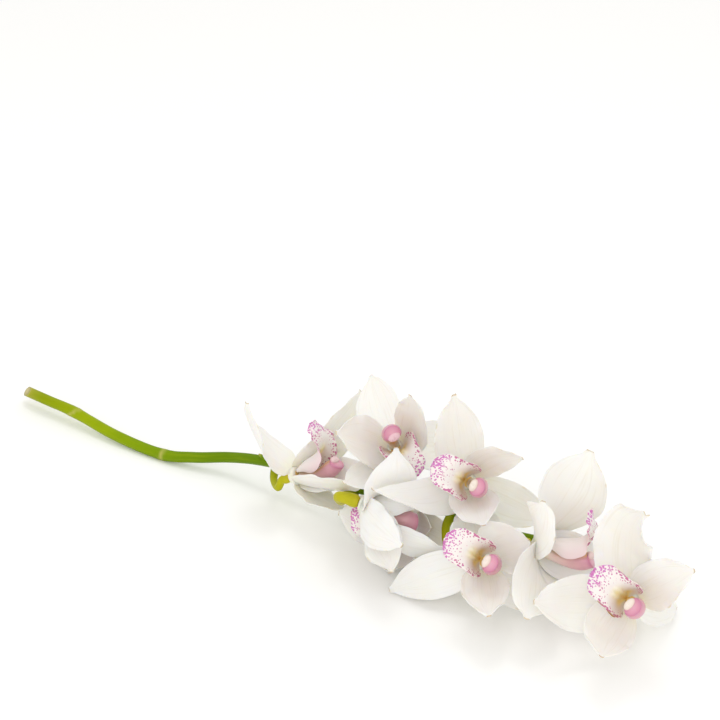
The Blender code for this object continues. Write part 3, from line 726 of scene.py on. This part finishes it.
for number, (letter, bloom) in enumerate(BLOOMS.items()):
    surface, u, v, half = lip_surface(1.3 * number)
    grid = surface.shape[:2]
    thick = LIP_THICK - LIP_THINNING * np.maximum(np.abs(v), u) ** 3
    points, faces = leaf_of(surface, np.broadcast_to(thick, grid))
    over = v * half * 1000  # mm
    spots = np.broadcast_arrays(over, u * LIP_LENGTH * 1000, 5.0 * number)
    away = (u - 0.45) * LIP_LENGTH * 1000  # mm past the point that the streaks fan out from
    rays = np.broadcast_arrays(
        np.arctan2(over, np.maximum(away, 0.5)), np.hypot(over, away),
        np.clip((u - 0.62) / 0.38, 0, 1),
    )
    places = {
        key: np.tile(np.stack(values, -1).reshape(-1, 3), (2, 1))
        for key, values in (("lip", spots), ("fan", rays))
    }
    side_edge = np.abs(v) ** 1.5 * np.clip(u * 2.4, 0, 1)
    near_edge = np.maximum(np.clip((u - 0.30) / 0.70, 0, 1) ** 1.3, side_edge)
    keel = np.clip((0.66 - u) / 0.12, 0, 1) * np.clip(u * 5, 0, 1)
    keel = np.exp(-((np.abs(v) * half / YELLOW_WIDTH) ** 2)) * keel
    inside = np.clip((0.48 - u) / 0.26, 0, 1) * np.exp(-((v / 0.5) ** 2))
    one_side = np.clip((v - 0.90) / 0.08, 0, 1) * np.exp(-(((u - 0.5) / 0.28) ** 4))
    shares = {
        key: np.tile(np.broadcast_to(values, grid).ravel(), 2)
        for key, values in (("edge", near_edge), ("keel", keel), ("throat", inside),
                            ("withered", (letter == WITHERED_LIP) * one_side))
    }
    lip = grown_piece(
        f"lip_{letter}", points @ bloom["axes"].T + bloom["at"], faces.tolist(), lip_flesh,
        inner=np.repeat(LIP_SIDES, grid[0] * grid[1]), **places, **shares,
    )
    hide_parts(f"bloom_{letter}_lip")

# The column. A stout arched rod of dusty pink flesh, which grew out of the receptacle and stands
# over the lip. It is paler at its foot, hollowed along the side that faces the lip, and ends in a
# slightly domed face that slopes back towards the lip.

COLUMN_LENGTH = 0.030
COLUMN_START = (0.0016, 0.0017)  # how far over and in front of the bloom's own point it begins
COLUMN_LEAN = (-18, 42)  # the angle it sets out at, and how much that grows along it
COLUMN_RADII = [3.2, 3.4, 3.8, 4.5, 5.4, 6.0, 5.2]  # mm, evenly spaced along it
COLUMN_RINGS, COLUMN_SIDES = 61, 36
COLUMN_HOLLOW, COLUMN_OVAL = 0.20, 0.04  # as shares of the radius
HOOD_SLOPE = 0.2  # how far the end falls back towards the lip, for each unit across it
HOOD_FROM = 0.83  # the share of the length at which that begins
DOME_RISE = 0.0006


def column_surface():
    """The column in its bloom's axes: rings carried along an arch, with the cube of the under side
    taken off as a hollow. Near the end each point falls back by its height over the arch times the
    hood's slope, and the last ring closes to its middle in a low dome. Returns the rings, each
    ring's share of the way, how golden each point is, and the end's middle, direction and under
    side."""
    s = np.linspace(0, 1, COLUMN_RINGS)
    lean = np.radians(COLUMN_LEAN[0] + COLUMN_LEAN[1] * s)
    step = COLUMN_LENGTH / (COLUMN_RINGS - 1)
    over = COLUMN_START[0] - running(np.sin(lean), step)
    path = np.stack([0 * s, over, COLUMN_START[1] + running(np.cos(lean), step)], axis=1)
    radii = np.stack([np.linspace(0, 1, len(COLUMN_RADII)), COLUMN_RADII], 1)
    radius = size_along(s, radii, per_span=10)[:, None] / 1000
    angle = np.linspace(0, 2 * np.pi, COLUMN_SIDES, endpoint=False)[None, :]
    under = np.clip(-np.sin(angle), 0, 1)
    hollow = 1 - COLUMN_HOLLOW * under**3 * np.clip(s[:, None] * 3 - 0.6, 0, 1)
    radius = radius * hollow * (1 + COLUMN_OVAL * np.cos(2 * angle))
    rings = carried_round(path, radius, COLUMN_SIDES, (0, 1, 0))[0]
    end = (path[-1] - path[-2]) / np.linalg.norm(path[-1] - path[-2])
    below = np.cross((1.0, 0.0, 0.0), end)
    hooded = (np.clip((s - HOOD_FROM) / (1 - HOOD_FROM), 0, 1) ** 1.5)[:, None]
    fallen = (rings - path[:, None]) @ below * HOOD_SLOPE * hooded
    rings = rings - fallen[..., None] * end
    closing = np.linspace(0, 1, 8)[1:-1, None, None]
    bulge = DOME_RISE * np.sqrt(closing * (2 - closing)) * end
    dome = rings[-1] + (path[-1] - rings[-1]) * closing + bulge
    reach = np.concatenate([0.9 * s, 0.9 + 0.1 * closing.ravel()])
    golden = np.concatenate([np.clip(s * 4 - 0.6, 0, 1) * (s < 1), 0 * closing.ravel()])
    return np.concatenate([rings, dome]), reach, under * golden[:, None], path[-1], end, below


COLUMN_PINKS = [
    (0.0, (0.84, 0.74, 0.58)), (0.25, (0.76, 0.60, 0.54)), (0.55, (0.72, 0.43, 0.44)),
    (0.84, (0.68, 0.34, 0.42)), (0.90, (0.60, 0.22, 0.34)), (0.94, (0.70, 0.32, 0.42)),
    (1.0, (0.76, 0.42, 0.51)),
]
HOLLOW_GOLD, BLUSH_PINK = (0.80, 0.50, 0.20, 1.0), (0.66, 0.26, 0.36, 1.0)

column_flesh = new_finish("column_flesh", 0.36)
blush = speckle(column_flesh, place_on(column_flesh), 220.0, 3.0)
pink = colour_along(column_flesh, field(column_flesh, "reach"), COLUMN_PINKS)
facing_lip = between(column_flesh, field(column_flesh, "under"), 0.2, 0.9)
pink = tint(column_flesh, times(column_flesh, facing_lip, 0.85), pink, HOLLOW_GOLD)
flushed = times(column_flesh, between(column_flesh, blush, 0.45, 0.8), 0.30)
pink = tint(column_flesh, flushed, pink, BLUSH_PINK)
column_shader = shade(column_flesh, pink, blush, 0.15, 0.0002)
column_shader.inputs["Subsurface Weight"].default_value = 0.15
column_shader.inputs["Subsurface Scale"].default_value = 0.0015

rings, reach, under, column_end, onward, below = column_surface()
for letter, bloom in BLOOMS.items():
    points = rings.reshape(-1, 3) @ bloom["axes"].T + bloom["at"]
    column = grown_piece(
        f"column_{letter}", points, tube_faces(*rings.shape[:2]), column_flesh,
        reach=np.repeat(reach, COLUMN_SIDES), under=under.ravel(),
    )
    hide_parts(f"bloom_{letter}_column")

# The anther caps. A low cream dome of two lobes, with a groove between them, sits on the column's
# end over the pollen. Some have stayed pink.

CAP_RADIUS, CAP_HEIGHT, CAP_FLATNESS = 0.0040, 0.0024, 0.65
CAP_GROOVE, CAP_GROOVE_WIDTH = 0.0007, 0.0006
CAP_GAP, CAP_DOWNHILL = 0.0003, 0.0022  # how far off the end it sits, and how far towards the lip
CAP_RINGS, CAP_SIDES = 16, 36
CAP_ROSY = {  # share of pink
    "a": 0.6, "b": 0.9, "c": 0.0, "d": 0.6, "e": 0.1, "f": 0.5, "g": 0.0, "h": 0.5,
}
CAP_CREAMS = [(0.0, (0.70, 0.36, 0.44)), (0.30, (0.82, 0.70, 0.62)), (1.0, (0.86, 0.79, 0.72))]
CAP_PINK, POLLEN_GOLD = (0.78, 0.48, 0.58, 1.0), (0.80, 0.66, 0.40, 1.0)


def cap_surface(seat, right, downhill, facing):
    """The cap on its seat: an oval dome, the cosine and sine of a quarter turn, with a bell curve
    sunk across its middle. Returns its rings and each ring's share of the way up."""
    t = np.linspace(0, 1, CAP_RINGS)[:, None]
    angle = np.linspace(0, 2 * np.pi, CAP_SIDES, endpoint=False)[None, :]
    flat = CAP_RADIUS * np.cos(t * np.pi / 2 * 0.98)
    x, y = flat * np.cos(angle), CAP_FLATNESS * flat * np.sin(angle)
    groove = CAP_GROOVE * np.exp(-((x / CAP_GROOVE_WIDTH) ** 2)) * t
    rise = CAP_HEIGHT * np.sin(t * np.pi / 2) - groove
    return seat + x[..., None] * right + y[..., None] * downhill + rise[..., None] * facing, t


cap_flesh = new_finish("cap_flesh", 0.40)
grains = speckle(cap_flesh, place_on(cap_flesh), 400.0)
cream = colour_along(cap_flesh, field(cap_flesh, "dome"), CAP_CREAMS)
cream = tint(cap_flesh, field(cap_flesh, "rosy"), cream, CAP_PINK)
cream = tint(cap_flesh, times(cap_flesh, grains, 0.2), cream, POLLEN_GOLD)
shade(cap_flesh, cream, grains, 0.2, 0.0002)

facing = (onward + HOOD_SLOPE * below) / np.hypot(1, HOOD_SLOPE)
downhill = (below - HOOD_SLOPE * onward) / np.hypot(1, HOOD_SLOPE)
seat = column_end + facing * CAP_GAP + downhill * CAP_DOWNHILL
dome, up_dome = cap_surface(seat, np.array([1.0, 0.0, 0.0]), downhill, facing)
for letter, bloom in BLOOMS.items():
    points = dome.reshape(-1, 3) @ bloom["axes"].T + bloom["at"]
    cap = grown_piece(
        f"anther_cap_{letter}", points, tube_faces(CAP_RINGS, CAP_SIDES), cap_flesh,
        dome=np.repeat(up_dome.ravel(), CAP_SIDES),
        rosy=np.full(CAP_RINGS * CAP_SIDES, CAP_ROSY[letter]),
    )
    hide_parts(f"bloom_{letter}_anther_cap")

# The table. A plain white sheet with a matt surface that runs out of view on every side.

TABLE_HALF = 6.0
TABLE_WHITE = (1.0, 0.997, 0.985, 1.0)

table_top = new_finish("table_top", 0.9)
table_shader = table_top.node_tree.nodes["Principled BSDF"]
table_shader.inputs["Base Color"].default_value = TABLE_WHITE
table_shader.inputs["Specular IOR Level"].default_value = 0.1
mesh = bpy.data.meshes.new("table")
corners = [(-1, -1), (1, -1), (1, 1), (-1, 1)]
mesh.from_pydata([(x * TABLE_HALF, y * TABLE_HALF, 0) for x, y in corners], [], [(0, 1, 2, 3)])
mesh.materials.append(table_top)
table = bpy.data.objects.new("table", mesh)
bpy.context.scene.collection.objects.link(table)

# The camera. A long lens that looks down across the blooms from the stem's near side, with the stem
# running away to the left.

CAMERA_AT = np.array([0.7467, -0.9557, 0.7153]) - FRAME_ORIGIN
CAMERA_PITCH, CAMERA_TURN = np.radians([26.5, 38.0])  # down from level, and round from +Y to -X
CAMERA_LENS, CAMERA_FILM = 110.0, 36.0  # mm


def standing(at, right, ahead):
    """The matrix of a camera or lamp at a place: its X is right, and its -Z looks ahead."""
    stand = np.eye(4)
    stand[:3] = np.stack([right, np.cross(right, ahead), -ahead, at], axis=1)
    return stand.T.tolist()


level = np.cos(CAMERA_PITCH)
ahead = np.array([-np.sin(CAMERA_TURN) * level, np.cos(CAMERA_TURN) * level, -np.sin(CAMERA_PITCH)])
camera_data = bpy.data.cameras.new("camera")
camera_data.lens, camera_data.sensor_width = CAMERA_LENS, CAMERA_FILM
camera = bpy.data.objects.new("camera", camera_data)
right = np.array([np.cos(CAMERA_TURN), np.sin(CAMERA_TURN), 0.0])
camera.matrix_world = standing(CAMERA_AT, right, ahead)
bpy.context.scene.collection.objects.link(camera)
bpy.context.scene.camera = camera

# The light. A bright white room, a small soft lamp high behind the stem, and a large soft one on
# the viewer's side that keeps the shade between the blooms light.

ROOM_WHITE, ROOM_STRENGTH = (1.0, 0.995, 0.985, 1.0), 0.91
LAMPS = {  # place, width and power in watts
    "high_lamp": ((-0.15, 0.35, 1.60), 0.6, 2.6),
    "front_lamp": ((0.90, -1.30, 1.00), 1.2, 7.0),
}
LAMPS_LOOK_AT = np.array([0.05, 0.0, 0.03])

room = bpy.data.worlds.new("room")
room.use_nodes = True
room.node_tree.nodes["Background"].inputs["Color"].default_value = ROOM_WHITE
room.node_tree.nodes["Background"].inputs["Strength"].default_value = ROOM_STRENGTH
bpy.context.scene.world = room

for name, (at, width, watts) in LAMPS.items():
    lamp_data = bpy.data.lights.new(name, "AREA")
    lamp_data.shape, lamp_data.size, lamp_data.energy = "DISK", width, watts
    lamp = bpy.data.objects.new(name, lamp_data)
    ahead = LAMPS_LOOK_AT - np.array(at)
    ahead /= np.linalg.norm(ahead)
    right = np.cross(ahead, (0, 0, 1.0))
    lamp.matrix_world = standing(at, right / np.linalg.norm(right), ahead)
    bpy.context.scene.collection.objects.link(lamp)

bpy.context.scene.view_settings.view_transform = "Standard"
